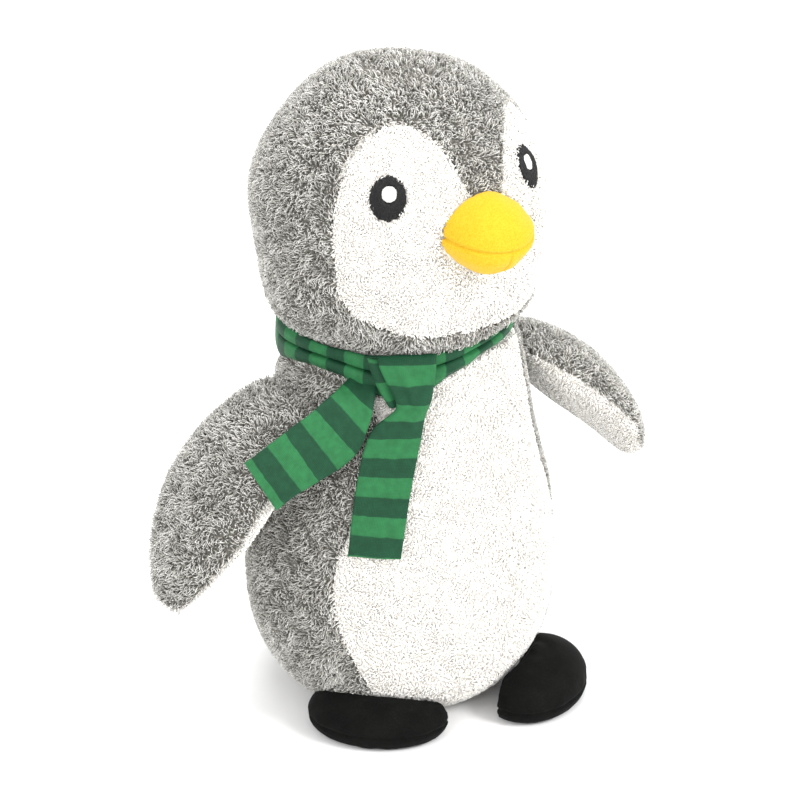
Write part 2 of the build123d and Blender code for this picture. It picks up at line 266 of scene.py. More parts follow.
def scarf_look():
    """Striped jersey: the stripes and the knit follow the cloth through its UV map, in metres."""
    look = Look("scarf_stripes", 0.62, 0.05, 0.22, 0.3)
    uv = look.node("ShaderNodeUVMap", uv_map="cloth")
    split = look.node("ShaderNodeSeparateXYZ")
    look.join(uv.outputs["UV"], split.inputs[0])
    along, across = split.outputs["X"], split.outputs["Y"]
    wobble = look.math("MULTIPLY", look.math("SUBTRACT", look.noise(160, 2), 0.5), 0.0012)
    place = look.math("DIVIDE", look.math("ADD", along, wobble), STRIPES)
    light, dark = linear(38, 108, 62), linear(13, 64, 40)
    stripe = look.math("FRACT", place)
    bands = look.ramp(stripe, [(0.0, light), (0.485, light), (0.515, dark), (0.985, dark)])
    ribs = look.node("ShaderNodeTexWave", wave_type="BANDS", bands_direction="Y")
    ribs.inputs["Scale"].default_value = 420
    look.join(uv.outputs["UV"], ribs.inputs["Vector"])
    courses = look.node("ShaderNodeTexWave", wave_type="BANDS", bands_direction="X")
    courses.inputs["Scale"].default_value = 420
    look.join(uv.outputs["UV"], courses.inputs["Vector"])
    knit = look.math("MULTIPLY", ribs.outputs["Fac"], courses.outputs["Fac"])
    shaded = look.mix(look.math("MULTIPLY", knit, 0.10), bands, linear(70, 140, 95), "SCREEN")
    # Random darker blotches multiplied over the stripes: painted shade of creases and painted sheen
    # variation.
    painted_crease_shade = look.ramp(look.noise(260, 4), [(0.3, (0.72, 0.74, 0.72, 1)), (0.7, (1, 1, 1, 1))])
    look.colour(look.mix(1.0, shaded, painted_crease_shade, "MULTIPLY"))
    look.bump(look.math("ADD", knit, look.noise(220, 3)), 0.25, 0.0004)
    return look.material


def thread_look(name, dark, light):
    """Satin-stitch embroidery thread."""
    look = Look(name, 0.5, 0.05, 0.25, 0.3)
    look.colour(look.ramp(look.noise(1200, 3), [(0.35, linear(*dark)), (0.7, linear(*light))]))
    return look.material


def cloth_look(name, dark, light):
    """Plain woven cloth for the base, the lining and the label."""
    look = Look(name, 0.85, 0.2, 0.3)
    checks = look.node("ShaderNodeTexChecker")
    checks.inputs["Scale"].default_value = 1600
    look.join(look.place(), checks.inputs["Vector"])
    look.colour(look.mix(checks.outputs["Fac"], linear(*dark), linear(*light)))
    look.bump(checks.outputs["Fac"], 0.3, 0.0003)
    return look.material


# Each list runs from the root slot out to the tip slot: the darker root slots are painted shade between the
# strands.
grey_shades = [(122, 119, 111), (160, 158, 151), (192, 190, 184), (220, 218, 213), (242, 241, 237)]
white_shades = [(247, 243, 236), (248, 245, 240), (249, 246, 241), (249, 247, 243), (250, 248, 244)]
looks = {
    "grey_pile": strand_looks("grey_pile", grey_shades, 0.2),
    "white_pile": strand_looks("white_pile", white_shades, 0.2),
    # The grey ground cloth is real, but its grey is set well below the pile's: painted shade in the gaps
    # between the strands.
    "grey_backing": backing_look("grey_backing", (92, 90, 84), (132, 129, 122)),
    "white_backing": backing_look("white_backing", (250, 247, 241), (254, 252, 248)),
    "beak_felt": felt_look(),
    "black_suede": suede_look(),
    "scarf_cloth": scarf_look(),
    "black_thread": thread_look("black_thread", (10, 10, 10), (34, 34, 34)),
    "white_thread": thread_look("white_thread", (222, 220, 214), (246, 245, 242)),
    "base_cloth": cloth_look("base_cloth", (92, 90, 86), (128, 125, 120)),
    "lining": cloth_look("lining", (214, 210, 200), (236, 232, 224)),
    "label": cloth_look("label", (232, 230, 226), (250, 249, 246)),
    "stuffing": backing_look("stuffing", (225, 224, 220), (245, 245, 243)),
    "pellets": backing_look("pellets", (190, 190, 188), (225, 225, 222)),
}


# ------------------------------------------------------------------------------- pile fabric
class Shell:
    """The outer skin of several sewn panels, as one surface that the panels share."""

    def __init__(self, panels, depth, shape):
        """depth is how far the ground cloth lies under the CAD face, and shape moves the points."""
        parts, owner, start = [], [], 0
        every_point = []
        for number, panel in enumerate(panels):
            points, triangles = triangles_of(panel)
            every_point.append(points)
            parts.append(triangles + start)
            owner.append(np.full(len(triangles), number))
            start += len(points)
        points, triangles, whole = weld(np.concatenate(every_point), np.concatenate(parts))
        self.owner = np.concatenate(owner)[whole]
        self.triangles = triangles[whole]
        self.panels = panels
        self.outer = self.facing_out(points)
        inward = -depth * point_normals(points, self.triangles[self.outer])
        self.points = shape(points + inward)
        self.normals = point_normals(self.points, self.triangles[self.outer])

    def facing_out(self, points):
        """Which triangles see nothing of the shell in front of them."""
        tree = BVHTree.FromPolygons(points.tolist(), self.triangles.tolist())
        centre, normal = face_vectors(points, self.triangles)
        normal = unit(normal)
        begin = centre + normal * 2e-5
        cast = tree.ray_cast
        pairs = zip(begin.tolist(), normal.tolist())
        return np.array([cast(Vector(b), Vector(n))[0] is None for b, n in pairs])

    def skin(self, number, name):
        """The panel as a closed mesh object."""
        triangles = self.triangles[self.owner == number]
        used, index = np.unique(triangles, return_inverse=True)
        return mesh_object(name, self.points[used], index.reshape(-1, 3))

    def scatter(self, number, spacing, seed):
        """Evenly spread points on the outer face of a panel, with their normals."""
        rng = np.random.default_rng(seed)
        triangles = self.triangles[(self.owner == number) & self.outer]
        _, normal = face_vectors(self.points, triangles)
        area = np.linalg.norm(normal, axis=1)
        count = int(area.sum() / spacing**2 * 3)
        chosen = triangles[np.searchsorted(area.cumsum() / area.sum(), rng.random(count))]
        first, second = rng.random(count), rng.random(count)
        flip = first + second > 1
        first[flip], second[flip] = 1 - first[flip], 1 - second[flip]
        share = np.stack([1 - first - second, first, second], axis=1)[:, :, None]
        place = (self.points[chosen] * share).sum(axis=1)
        normal = unit((self.normals[chosen] * share).sum(axis=1))
        # one point is kept in each cell of a grid
        cell = np.floor(place / spacing).astype(np.int64) + 4096
        _, kept = np.unique((cell[:, 0] * 8192 + cell[:, 1]) * 8192 + cell[:, 2], return_index=True)
        kept = np.sort(kept)
        return place[kept], normal[kept]


SIDES_ROUND = 3
MOST_STRANDS = 11500          # in one piece
ABOVE_FLOOR = 0.4 * MM        # no strand's middle line goes lower


def strand_mesh(name, place, normal, seed, length, lean, curl, radius):
    """Closed, tapering, curled strands as one mesh, with the shades as material slots."""
    rng = np.random.default_rng(seed)
    count = len(place)
    swirl = 2.2 * waves(place, 26 * MM, 11) + 1.2 * waves(place, 9 * MM, 12)
    angle = swirl + rng.normal(0, 0.75, count)
    first = unit(np.cross(normal, np.array([0.0, 0.23, 1.0])))
    second = np.cross(normal, first)
    ahead = np.cos(angle)[:, None] * first + np.sin(angle)[:, None] * second
    aside = np.cross(normal, ahead)
    high = length * rng.uniform(0.7, 1.15, count)
    far = lean * rng.uniform(0.35, 1.4, count)
    turn = curl * rng.choice([-1.0, 1.0], count) * rng.uniform(0.3, 1.2, count)
    # four points of the middle line, from the root in the cloth out to the tip
    rise = np.array([-0.12, 0.62, 0.97, 1.0])
    reach = np.array([0.0, 0.22, 0.62, 1.15])
    swing = np.array([0.0, 0.8, 0.35, -0.6])
    line = (
        place[:, None]
        + normal[:, None] * (high[:, None] * rise)[:, :, None]
        + ahead[:, None] * (far[:, None] * reach)[:, :, None]
        + aside[:, None] * (turn[:, None] * swing)[:, :, None]
    )
    line[:, :, 2] = np.maximum(line[:, :, 2], ABOVE_FLOOR)
    along = unit(np.diff(line, axis=1))
    thick = radius * rng.uniform(0.75, 1.2, count)
    rings = []
    for step, share in enumerate((0.9, 1.0, 0.72)):
        up = np.cross(along[:, min(step, 2)], aside)
        for corner in range(SIDES_ROUND):
            bearing = 2 * math.pi * corner / SIDES_ROUND
            offset = math.cos(bearing) * aside + math.sin(bearing) * up
            rings.append(line[:, step] + offset * (thick * share)[:, None])
    rings.append(line[:, 3])
    points = np.stack(rings, axis=1).reshape(-1, 3)

    faces, totals, segment = [2, 1, 0], [3], [0]
    for ring in range(2):
        for corner in range(SIDES_ROUND):
            nxt = (corner + 1) % SIDES_ROUND
            low, top = ring * SIDES_ROUND, (ring + 1) * SIDES_ROUND
            faces += [low + corner, low + nxt, top + nxt, top + corner]
            totals.append(4)
            segment.append(ring)
    last_ring = 2 * SIDES_ROUND
    for corner in range(SIDES_ROUND):
        faces += [last_ring + corner, last_ring + (corner + 1) % SIDES_ROUND, last_ring + SIDES_ROUND]
        totals.append(3)
        segment.append(2)
    per = len(rings)
    loops = (np.array(faces)[None] + per * np.arange(count)[:, None]).reshape(-1).astype(np.int32)
    totals = np.tile(totals, count).astype(np.int32)
    starts = np.concatenate([[0], np.cumsum(totals)[:-1]]).astype(np.int32)
    tone = waves(place, 14 * MM, 21) * 0.35 + rng.uniform(-0.5, 2.5, count)
    tone = np.clip(np.round(tone), 0, 2).astype(np.int32)
    # Root faces take darker slots and tips lighter ones, on top of a random tone per strand: painted shade
    # down among the strands.
    slots = (tone[:, None] + np.array(segment)[None]).reshape(-1).astype(np.int32)

    mesh = bpy.data.meshes.new(name)
    mesh.vertices.add(len(points))
    mesh.vertices.foreach_set("co", points.astype(np.float32).reshape(-1))
    mesh.loops.add(len(loops))
    mesh.loops.foreach_set("vertex_index", loops)
    mesh.polygons.add(len(totals))
    mesh.polygons.foreach_set("loop_start", starts)
    mesh.polygons.foreach_set("loop_total", totals)
    mesh.polygons.foreach_set("material_index", slots)
    mesh.update(calc_edges=True)
    mesh.shade_smooth()
    return add_object(name, mesh)


def pile(shell, number, name, slot, hold, keep, seed, spacing, **strand):
    """Covers one panel in strands, in pieces small enough to handle, and hands each to hold."""
    place, normal = shell.scatter(number, spacing, seed)
    wanted = keep(place)
    place, normal = place[wanted], normal[wanted]
    middle = place.mean(axis=0)
    order = np.argsort(np.arctan2(place[:, 1] - middle[1], place[:, 0] - middle[0]))
    pieces = max(1, math.ceil(len(place) / MOST_STRANDS))
    for part, chosen in enumerate(np.array_split(order, pieces)):
        label = name if pieces == 1 else f"{name}_{part + 1}"
        obj = strand_mesh(label, place[chosen], normal[chosen], seed + part, **strand)
        for material in looks[slot]:
            obj.data.materials.append(material)
        hold(obj)


def grey_strands():
    return dict(spacing=1.1 * MM, length=3.1 * MM, lean=2.0 * MM, curl=0.6 * MM, radius=0.29 * MM)


def white_strands():
    return dict(spacing=1.1 * MM, length=1.7 * MM, lean=1.7 * MM, curl=0.5 * MM, radius=0.5 * MM)


def cover(shell, panels, hold, keep=lambda place: np.ones(len(place), bool), seed=100):
    """Skins and piles for a shell: panels maps each node to its colour, or to plain cloth."""
    for number, (node, kind) in enumerate(panels.items()):
        skin = shell.skin(number, f"skin_{node}")
        colour, furry = kind
        backing = {"grey_pile": "grey_backing", "white_pile": "white_backing"}.get(colour, colour)
        skin.data.materials.append(looks[backing])
        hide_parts(node)
        hold(skin)
        if furry:
            strand = grey_strands() if colour == "grey_pile" else white_strands()
            pile(shell, number, f"pile_{node}", colour, hold, keep, seed + 10 * number, **strand)


# ------------------------------------------------------------------------------- head and neck
KNOT_BEARING = math.radians(-32.0)


def from_knot(points):
    """Bearing round the neck, in radians from the scarf's knot."""
    return np.arctan2(points[:, 0], -points[:, 1]) - KNOT_BEARING


def scarf_lift(points):
    """How much higher the scarf's top edge sits round the neck than at its knot."""
    away = from_knot(points)
    return MM * (3.0 * (1 - np.cos(away)) + 3.5 * np.maximum(np.sin(away), 0))


def scarf_rise(points):
    """How far the scarf's lower edge is drawn up round the neck, where it is bunched narrower."""
    away = from_knot(points)
    across = np.sin(away)
    loose = np.where(across < 0, 9.0, 4.0) * across**8
    return MM * (1.4 + 14.0 * (1 - np.exp((np.cos(away) - 1) / 0.10)) + 3.5 * across - loose)


JOWL_HEIGHTS = np.array([0.195, 0.199, 0.202, 0.206, 0.212, 0.220, 0.235, 0.250, 0.264, 0.340])
JOWL_GROWTH = np.array([1.00, 1.02, 1.18, 1.32, 1.235, 1.138, 1.052, 1.012, 1.0, 1.0])


def head_shape(points):
    """Fills out the cheeks and the nape, where the stuffing rests on the scarf."""
    grown = points.copy()
    low = 1 - smoothstep(0.212, 0.250, points[:, 2])
    factor = np.interp(points[:, 2] - scarf_lift(points) * low, JOWL_HEIGHTS, JOWL_GROWTH)
    factor -= 0.035 * low * smoothstep(0, 0.05, points[:, 0] * 0.85 - points[:, 1] * 0.5)
    lump = 0.6 * MM * waves(points, 55 * MM, 31)
    away = unit(points - head_centre)
    grown[:, :2] *= factor[:, None]
    return grown + away * lump[:, None]


def hold_head(obj):
    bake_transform(obj)


def box_of(*names):
    """Lowest and highest corner of several CAD nodes together."""
    lows, highs = zip(*(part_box(name) for name in names))
    return np.min(lows, axis=0), np.max(highs, axis=0)


beak_low, beak_high = box_of("beak_upper", "beak_lower_left", "beak_lower_right")
beak_radii = np.array([24.0, 25.0, 20.0]) * MM
beak_middle = (beak_low + beak_high) / 2
beak_middle[1] = beak_low[1] + beak_radii[1]


class Eye:
    """Tangent frame of one embroidered eye."""

    def __init__(self, side):
        low, high = (np.array(corner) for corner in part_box(f"eye_{side}"))
        self.out = unit((low + high) / 2 - head_centre)
        self.level = unit(np.cross([0.0, 0.0, 1.0], self.out))
        self.up = np.cross(self.out, self.level)

    def flat(self, points):
        """Coordinates of points in the eye's tangent plane."""
        arm = unit(points - head_centre) * HEAD_RADIUS
        return arm @ self.level, arm @ self.up, arm @ self.out > 0

    def point(self, across, upward, height):
        """Point at tangent-plane coordinates, height above the head's CAD face."""
        arm = unit(self.out * HEAD_RADIUS + self.level * across + self.up * upward)
        return head_centre + arm * (HEAD_RADIUS + height)


eyes = {side: Eye(side) for side in sides}
EYE_WIDE, EYE_HIGH = 8.7 * MM, 10.7 * MM      # half its width and half its height
GLINT, GLINT_X, GLINT_Y = 3.7 * MM, 0.7 * MM, 2.2 * MM
EYE_CLEAR = {"right": 0.90, "left": 0.68}     # how much of each eye the pile leaves open


HEAD_PILE_LOW, TORSO_PILE_HIGH = 0.200, 0.1865     # where the pile stops inside the scarf
BASE_EDGE = 0.0012


def head_keep(place):
    """Leaves out strands under the beak, on the eyes and down inside the scarf."""
    kept = place[:, 2] - scarf_lift(place) > HEAD_PILE_LOW
    inside = (((place - beak_middle) / (beak_radii - 1.5 * MM)) ** 2).sum(axis=1) < 1
    kept &= ~inside
    for side, eye in eyes.items():
        across, upward, ahead = eye.flat(place)
        kept &= ~((across / EYE_WIDE) ** 2 + (upward / EYE_HIGH) ** 2 < EYE_CLEAR[side]) | ~ahead
    return kept


head_panels = {
    "face_panel": ("white_pile", True),
    "chin_gusset": ("grey_pile", True),
    "crown_gusset": ("grey_pile", True),
    "head_side_left": ("grey_pile", True),
    "head_side_right": ("grey_pile", True),
}
cover(Shell(list(head_panels), 1.5 * MM, head_shape), head_panels, hold_head, head_keep, 100)


def neck_shape(points):
    """Keeps the neck roll just inside the cheeks that rest on it."""
    drawn = points.copy()
    drawn[:, :2] *= 0.94
    return drawn


cover(
    Shell(["neck_band"], 1.0 * MM, neck_shape),
    {"neck_band": ("grey_pile", False)},
    lambda obj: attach(obj, "neck"),
)


# ------------------------------------------------------------------------------- torso
def torso_shape(points):
    """Slightly uneven stuffing, flat where it sits and full up to the scarf."""
    lump = 0.9 * MM * waves(points, 70 * MM, 41) * smoothstep(0.004, 0.03, points[:, 2])
    away = unit(points * np.array([1, 1, 0]))
    radius = np.hypot(points[:, 0], points[:, 1])
    full = smoothstep(0.125, 0.182, points[:, 2]) * smoothstep(0.048, 0.0525, radius)
    lifted = points + away * lump[:, None]
    lifted[:, 2] += scarf_rise(points) * full
    return lifted


def torso_keep(place):
    """No strands under the scarf or under the base."""
    return (place[:, 2] - scarf_rise(place) < TORSO_PILE_HIGH) & (place[:, 2] > BASE_EDGE)


torso_panels = {
    "belly_panel": ("white_pile", True),
    "back_panel_left": ("grey_pile", True),
    "back_panel_right": ("grey_pile", True),
    "base_panel": ("base_cloth", False),
}
cover(
    Shell(list(torso_panels), 1.5 * MM, torso_shape),
    torso_panels,
    lambda obj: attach(obj, "torso"),
    torso_keep,
    300,
)


# ------------------------------------------------------------------------------- flippers
def flipper_shape(points):
    return points + 0.5 * MM * np.stack([waves(points, 45 * MM, 50 + k) for k in range(3)], axis=1)


for side, sign in sides.items():
    joint = joints[f"flipper_{side}_flap"]
    root = np.array(joint["pos_m"])
    low, high = box_of(f"flipper_{side}_outer")
    tip = np.array([sign * max(abs(low[0]), abs(high[0])), root[1], low[2]])
    reach = unit(tip - root)

    def hold_flipper(obj, side=side, root=root, reach=reach):
        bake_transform(obj)

    panels = {
        f"flipper_{side}_outer": ("grey_pile", True),
        f"flipper_{side}_inner": ("white_pile", True),
    }
    shell = Shell(list(panels), 1.2 * MM, flipper_shape)
    cover(shell, panels, hold_flipper, seed=500 + 50 * (sign > 0))
    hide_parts(f"flipper_{side}_stuffing")


# ------------------------------------------------------------------------------- stuffed suede and felt
def solid_copy(name, parts, voxel):
    """One closed, evenly meshed copy of several CAD solids that touch."""
    points, triangles, start = [], [], 0
    for part in parts:
        corner, triangle = triangles_of(part)
        points.append(corner)
        triangles.append(triangle + start)
        start += len(corner)
    obj = mesh_object(name, np.concatenate(points), np.concatenate(triangles))
    even = obj.modifiers.new("even", "REMESH")
    even.mode = "VOXEL"
    even.voxel_size = voxel
    apply_modifiers(obj)
    return obj


def apply_modifiers(obj):
    bpy.context.view_layer.update()
    graph = bpy.context.evaluated_depsgraph_get()
    mesh = bpy.data.meshes.new_from_object(obj.evaluated_get(graph))
    obj.modifiers.clear()
    obj.data = mesh
    mesh.shade_smooth()


def points_of(obj):
    points = np.empty(len(obj.data.vertices) * 3, np.float32)
    obj.data.vertices.foreach_get("co", points)
    return points.reshape(-1, 3).astype(float)


def normals_of(obj):
    normals = np.empty(len(obj.data.vertices) * 3, np.float32)
    obj.data.vertices.foreach_get("normal", normals)
    return normals.reshape(-1, 3).astype(float)


def move_points(obj, points):
    obj.data.vertices.foreach_set("co", points.astype(np.float32).reshape(-1))
    obj.data.update()


def inflate(obj, seam, shrink, most, pressure=4.0, frames=20):
    """Blows the cloth up from a slightly smaller shape while its seam is held, then adds a subdivision."""
    begin = points_of(obj) - normals_of(obj) * shrink
    move_points(obj, begin)
    group = obj.vertex_groups.new(name="seam")
    held = seam(begin)
    for index in np.nonzero(held > 0.05)[0]:
        group.add([int(index)], float(held[index]), "REPLACE")
    cloth = obj.modifiers.new("cloth", "CLOTH")
    settings = cloth.settings
    settings.use_pressure = True
    settings.uniform_pressure_force = pressure
    settings.effector_weights.gravity = 0
    settings.vertex_group_mass = "seam"
    settings.tension_stiffness = 30
    settings.compression_stiffness = 30
    settings.bending_stiffness = 0.6
    scene = bpy.context.scene
    for number in range(1, frames + 1):
        scene.frame_set(number)
    apply_modifiers(obj)
    scene.frame_set(1)
    obj.vertex_groups.clear()
    moved = points_of(obj) - begin
    length = np.linalg.norm(moved, axis=1, keepdims=True)
    moved *= np.minimum(1, most / np.maximum(length, 1e-9))
    move_points(obj, begin + moved)
    finer = obj.modifiers.new("finer", "SUBSURF")
    finer.levels = 1
    apply_modifiers(obj)


FOOT_SEAM_Z = 8 * MM


def foot_seam(points):
    """1 on the seam between a foot's top and its sole."""
    return 1 - smoothstep(0.6 * MM, 2.2 * MM, np.abs(points[:, 2] - FOOT_SEAM_Z))


for side in sides:
    parts = [f"foot_{side}_top", f"foot_{side}_sole", f"foot_{side}_stuffing"]
    foot = solid_copy(f"foot_{side}", parts, 1.7 * MM)
    inflate(foot, foot_seam, 0.7 * MM, 2.0 * MM)
    points, normals = points_of(foot), normals_of(foot)
    groove = np.exp(-(((points[:, 2] - FOOT_SEAM_Z) / (0.8 * MM)) ** 2))
    pucker = waves(points, 9 * MM, 61) * np.exp(-(((points[:, 2] - 9 * MM) / (4 * MM)) ** 2))
    depth = 1.1 * MM * groove + 0.25 * MM * pucker
    points -= normals * depth[:, None]
    points[:, 2] = np.maximum(points[:, 2], 0)
    move_points(foot, points)
    foot.data.materials.append(looks["black_suede"])
    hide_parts(*parts)
    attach(foot, f"foot_{side}")


MOUTH_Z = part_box("beak_upper")[0][2]
CHIN_SEAM_X = beak_middle[0]


def mouth_height(points):
    """Height of the mouth seam, which rises towards the corners."""
    return MOUTH_Z - 0.5 * MM + 4.5 * MM * ((points[:, 0] - CHIN_SEAM_X) / beak_radii[0]) ** 2


def beak_lines(points):
    """Distances to the mouth seam and to the seam down the lower beak."""
    line = mouth_height(points)
    mouth = np.abs(points[:, 2] - line)
    chin = np.where(points[:, 2] < line, np.abs(points[:, 0] - CHIN_SEAM_X), 1.0)
    return mouth, chin


def beak_seam(points):
    mouth, chin = beak_lines(points)
    near = np.minimum(mouth, chin)
    return 1 - smoothstep(0.5 * MM, 1.6 * MM, near)


beak_parts = ["beak_upper", "beak_lower_left", "beak_lower_right", "beak_stuffing"]
beak = solid_copy("beak", beak_parts, 1.3 * MM)
points = points_of(beak)
rise = (points[:, 2] - MOUTH_Z) / beak_radii[2]
narrow = np.where(rise > 0, 0.16 * rise**2, 0.30 * np.abs(rise))
points[:, 0] = CHIN_SEAM_X + (points[:, 0] - CHIN_SEAM_X) * (1 - narrow)
move_points(beak, points)
inflate(beak, beak_seam, 0.5 * MM, 1.6 * MM)
points, normals = points_of(beak), normals_of(beak)
mouth, chin = beak_lines(points)
groove = 1.4 * np.exp(-((mouth / (0.8 * MM)) ** 2)) + 0.9 * np.exp(-((chin / (0.7 * MM)) ** 2))
crease = waves(points * np.array([1, 0.6, 1.8]), 13 * MM, 71)
points -= normals * (1.0 * MM * groove + 0.22 * MM * crease)[:, None]
move_points(beak, points)
beak.data.materials.append(looks["beak_felt"])
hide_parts(*beak_parts)
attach(beak, "head")


# ------------------------------------------------------------------------------- embroidered eyes
def threads(name, eye, lines, radius, height, rng):
    """Satin stitches as thin closed tubes that follow the face; lines holds (x0, y0, x1, y1)."""
    points, faces = [], []
    corners, steps = 5, 6
    for x0, y0, x1, y1 in lines:
        start = len(points)
        lift = height + rng.uniform(-0.06, 0.06) * MM
        for share in np.linspace(0, 1, steps):
            across, upward = x0 + (x1 - x0) * share, y0 + (y1 - y0) * share
            arch = lift - 0.5 * MM * (2 * share - 1) ** 6
            middle = eye.point(across, upward, arch)
            ahead = unit(eye.level * (x1 - x0) + eye.up * (y1 - y0))
            beside = unit(np.cross(eye.out, ahead))
            out = unit(middle - head_centre)
            for corner in range(corners):
                bearing = 2 * math.pi * corner / corners
                points.append(middle + radius * (math.cos(bearing) * beside + math.sin(bearing) * out))
        for step in range(steps - 1):
            for corner in range(corners):
                nxt = (corner + 1) % corners
                low, top = start + step * corners, start + (step + 1) * corners
                faces.append((low + corner, low + nxt, top + nxt, top + corner))
        faces.append([start + corner for corner in reversed(range(corners))])
        faces.append([start + (steps - 1) * corners + corner for corner in range(corners)])
    return mesh_object(name, points, faces)


def eye_lines(rng):
    """Upright stitches of the dark ring, broken by the glint."""
    lines = []
    for across in np.arange(-EYE_WIDE, EYE_WIDE + 1e-6, 0.40 * MM):
        half = EYE_HIGH * math.sqrt(max(0.0, 1 - (across / EYE_WIDE) ** 2))
        if half < 0.8 * MM:
            continue
        top, bottom = half + rng.normal(0, 0.45) * MM, -half + rng.normal(0, 0.45) * MM
        hole = GLINT**2 - (across - GLINT_X) ** 2
        if hole <= 0:
            lines.append((across, bottom, across + 0.1 * MM, top))
        else:
            edge = math.sqrt(hole)
            lines.append((across, bottom, across, GLINT_Y - edge + rng.normal(0, 0.15) * MM))
            lines.append((across, GLINT_Y + edge + rng.normal(0, 0.15) * MM, across, top))
    return lines


def glint_lines(rng):
    lines = []
    for upward in np.arange(-GLINT + 0.2 * MM, GLINT, 0.40 * MM):
        half = math.sqrt(GLINT**2 - upward**2) + rng.normal(0, 0.12) * MM
        lines.append((GLINT_X - half, GLINT_Y + upward, GLINT_X + half, GLINT_Y + upward))
    return lines


for side, sign in sides.items():
    rng = np.random.default_rng(80 + sign)
    eye = eyes[side]
    ring = threads(f"eye_stitches_{side}", eye, eye_lines(rng), 0.3 * MM, 0.6 * MM, rng)
    ring.data.materials.append(looks["black_thread"])
    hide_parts(f"eye_{side}")
    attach(ring, "head")
    glint = threads(f"glint_stitches_{side}", eye, glint_lines(rng), 0.3 * MM, 0.7 * MM, rng)
    glint.data.materials.append(looks["white_thread"])
    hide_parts(f"eye_glint_{side}")
    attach(glint, "head")


# ------------------------------------------------------------------------------- scarf
WRINKLE = 0.3 * MM
HEM = 3.6 * MM                # depth of the turned-up end of a tail


def cloth_grid(name, surface, rows, columns, thickness, length, width, closed=False, hem=0.0):
    """A hemmed strip as a thin closed mesh. surface gives points for shares along and across it.

    hem is how far the stripe at the far end has run, and the stripes are laid back from there."""
    along = np.linspace(0, 1, rows)
    across = np.linspace(0, 1, columns)
    grid_u, grid_v = np.meshgrid(along, across, indexing="ij")
    middle = surface(grid_u.ravel(), grid_v.ravel()).reshape(rows, columns, 3)
    if closed:
        middle[-1] = middle[0]
    step_u = np.gradient(middle, axis=0)
    if closed:
        step_u[0] = step_u[-1] = middle[1] - middle[-2]
    step_v = np.gradient(middle, axis=1)
    normal = unit(np.cross(step_u, step_v))
    edge = np.minimum(grid_v, 1 - grid_v) * width
    if not closed:
        edge = np.minimum(edge, np.minimum(grid_u, 1 - grid_u) * length)
    half = thickness / 2 * (0.55 + 0.45 * smoothstep(0, 1.2 * MM, edge))[:, :, None]
    wrinkle = waves(middle.reshape(-1, 3), 15 * MM, 91).reshape(rows, columns, 1)
    middle = middle + normal * WRINKLE * wrinkle
    if not closed:
        turned_up = 1 - smoothstep(HEM - 0.6 * MM, HEM, (1 - grid_u) * length)
        half = half * (1 + 0.6 * turned_up[:, :, None])
    front, back = middle + normal * half, middle - normal * half
    points = np.concatenate([front.reshape(-1, 3), back.reshape(-1, 3)])
    size = rows * columns
    number = np.arange(size).reshape(rows, columns)
    if closed:
        number[-1] = number[0]
    faces, places = [], []

    def add(quad, spots):
        faces.append(quad)
        places.extend(spots)

    for i in range(rows - 1):
        for j in range(columns - 1):
            a, b, c, d = number[i, j], number[i + 1, j], number[i + 1, j + 1], number[i, j + 1]
            spots = [(i, j), (i + 1, j), (i + 1, j + 1), (i, j + 1)]
            add((a, b, c, d), spots)
            add((d + size, c + size, b + size, a + size), spots[::-1])
    for i in range(rows - 1):
        a, b = number[i, 0], number[i + 1, 0]
        add((a + size, b + size, b, a), [(i, 0), (i + 1, 0), (i + 1, 0), (i, 0)])
        a, b = number[i, -1], number[i + 1, -1]
        last = columns - 1
        add((a, b, b + size, a + size), [(i, last), (i + 1, last), (i + 1, last), (i, last)])
    if not closed:
        for j in range(columns - 1):
            a, b = number[0, j], number[0, j + 1]
            add((a, b, b + size, a + size), [(0, j), (0, j + 1), (0, j + 1), (0, j)])
            a, b = number[-1, j], number[-1, j + 1]
            last = rows - 1
            add((a + size, b + size, b, a), [(last, j), (last, j + 1), (last, j + 1), (last, j)])
    obj = mesh_object(name, points, faces)
    layer = obj.data.uv_layers.new(name="cloth")
    spots = np.array(places, float)
    steps = np.linalg.norm(np.diff(middle[:, columns // 2], axis=0), axis=1)
    run = np.concatenate([[0], np.cumsum(steps)])
    if closed:
        run *= length / run[-1]
    run += hem - run[-1]
    flat = np.stack([run[spots[:, 0].astype(int)], spots[:, 1] / (columns - 1) * width], axis=1)
    layer.data.foreach_set("uv", flat.astype(np.float32).reshape(-1))
    obj.data.materials.append(looks["scarf_cloth"])
    return obj


def between_knots(before, here, there, after, t):
    """Smooth curve from here to there, at a share t of the way, from four knots in a row."""
    return 0.5 * (
        2 * here
        + (there - before) * t
        + (2 * before - 5 * here + 4 * there - after) * t**2
        + (3 * here - before - 3 * there + after) * t**3
    )


def spline(knots, share):
    """Smooth curve through knots, read at shares from 0 to 1 of the way along them."""
    knots = np.asarray(knots, float)
    count = len(knots) - 1
    place = np.clip(share, 0, 1) * count
    index = np.minimum(place.astype(int), count - 1)
    t = (place - index)[:, None]
    before, after = knots[np.maximum(index - 1, 0)], knots[np.minimum(index + 2, count)]
    return between_knots(before, knots[index], knots[index + 1], after, t)


def strip(first, second, along, across):
    """Points of a strip whose two edges run through knots, in millimetres."""
    share = across[:, None]
    return spline(first, along) * (1 - share) + spline(second, along) * share


wrap_low, wrap_high = (np.array(corner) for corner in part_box("scarf_wrap"))
WRAP_RADIUS = wrap_high[0]
WRAP_BOTTOM, WRAP_TOP = wrap_low[2], wrap_high[2]
CLOTH = 1.0 * MM


